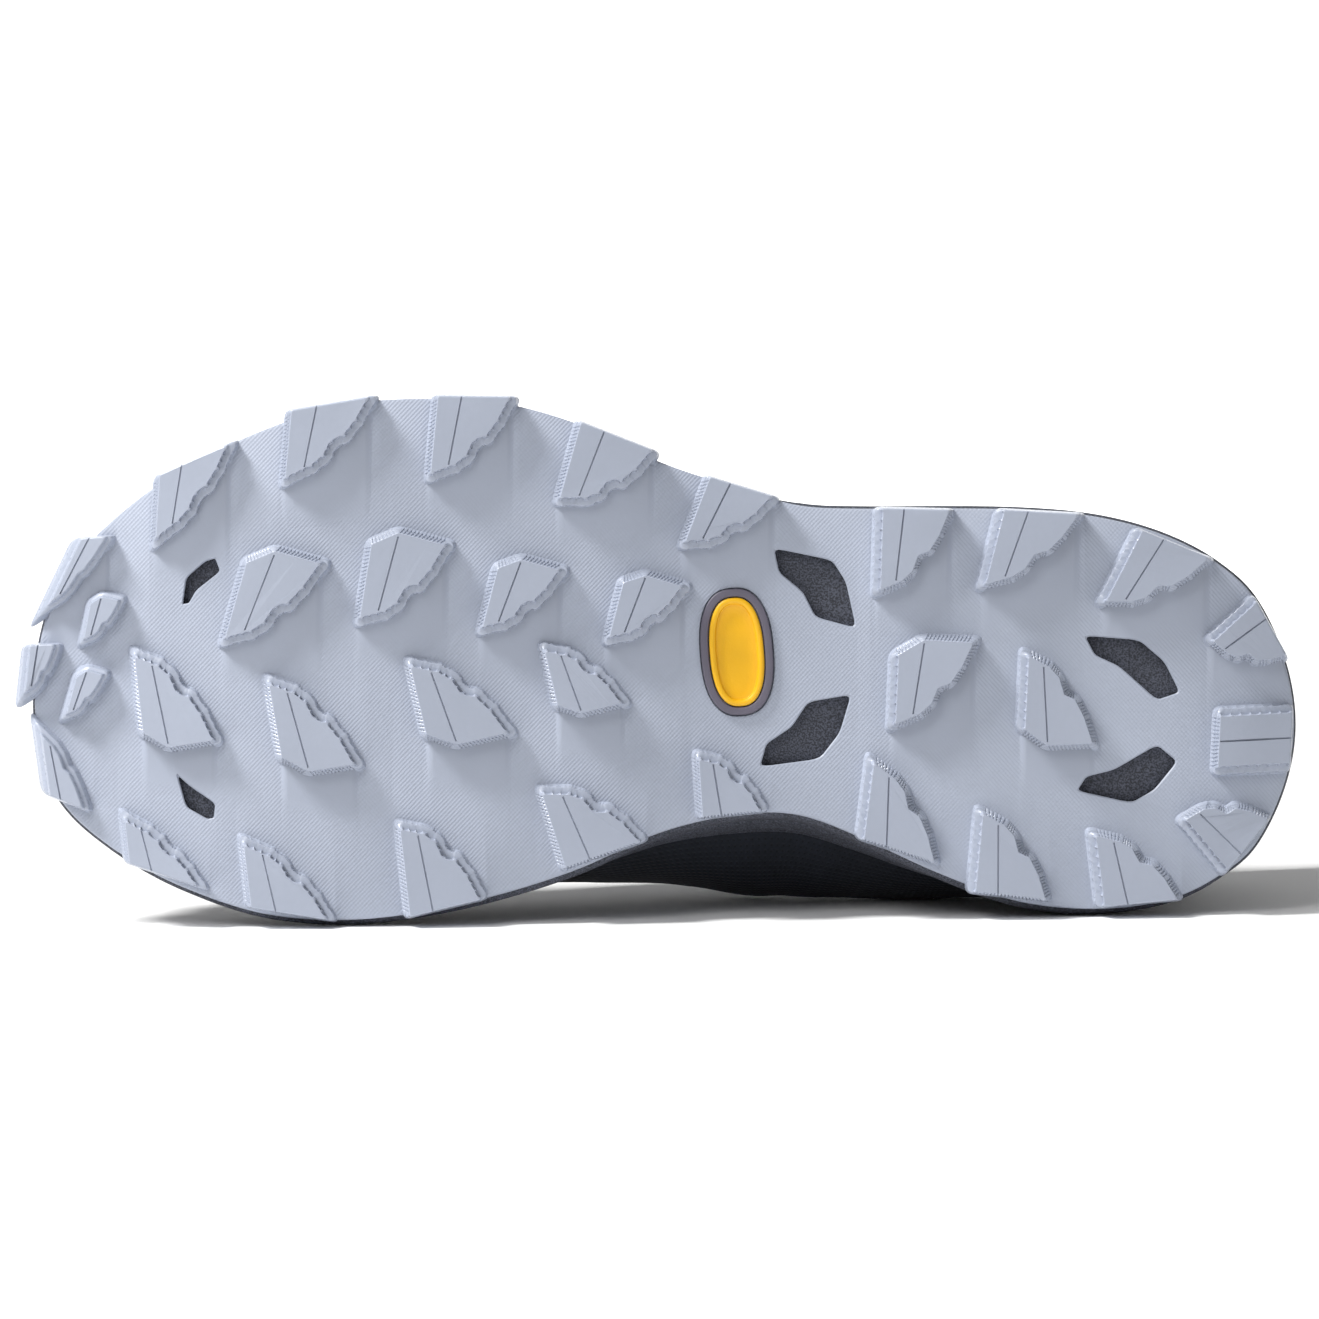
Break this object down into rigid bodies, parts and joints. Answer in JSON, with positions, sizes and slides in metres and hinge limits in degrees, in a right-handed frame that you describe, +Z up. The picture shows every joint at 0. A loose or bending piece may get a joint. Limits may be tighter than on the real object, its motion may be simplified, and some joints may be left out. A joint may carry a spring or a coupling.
{
  "type": "trail running shoe",
  "caption": "Empty left trail running shoe lying on its medial side, with a lugged rubber outsole, foam midsole and dark laced upper.",
  "frame": {"origin": "on the floor under the middle of the shoe's bounding box, with the shoe lying on its medial side", "axes": "-X towards the toe, -Y towards the ground face of the sole, +Z up, out of the lateral side"},
  "size_m": [0.3008, 0.127, 0.1242],
  "materials": {
    "rubber": "matte pale blue-grey moulded rubber",
    "inlay_rim": "matte mauve-grey rubber",
    "inlay": "satin yellow rubber",
    "foam": "matte dark grey moulded foam",
    "insole": "brushed dark textile over foam",
    "mesh": "near-black navy mesh",
    "overlay": "matte dark film and moulded overlay",
    "tongue": "padded near-black textile",
    "eyelet": "satin dark plastic",
    "lace": "braided dark grey cord"
  },
  "bodies": {
    "root": {"outsole": "rubber", "badge_rim": "inlay_rim", "badge_inlay": "inlay", "midsole": "foam", "insole": "insole", "upper": "mesh", "toe_cap": "overlay", "heel_counter": "overlay", "eyestay": "overlay", "tongue": "tongue", "lace": "lace", "eyelet_lateral_1": "eyelet", "eyelet_lateral_2": "eyelet", "eyelet_lateral_3": "eyelet", "eyelet_lateral_4": "eyelet", "eyelet_lateral_5": "eyelet", "eyelet_lateral_6": "eyelet", "eyelet_medial_1": "eyelet", "eyelet_medial_2": "eyelet", "eyelet_medial_3": "eyelet", "eyelet_medial_4": "eyelet", "eyelet_medial_5": "eyelet", "eyelet_medial_6": "eyelet"}
  },
  "joints": []
}
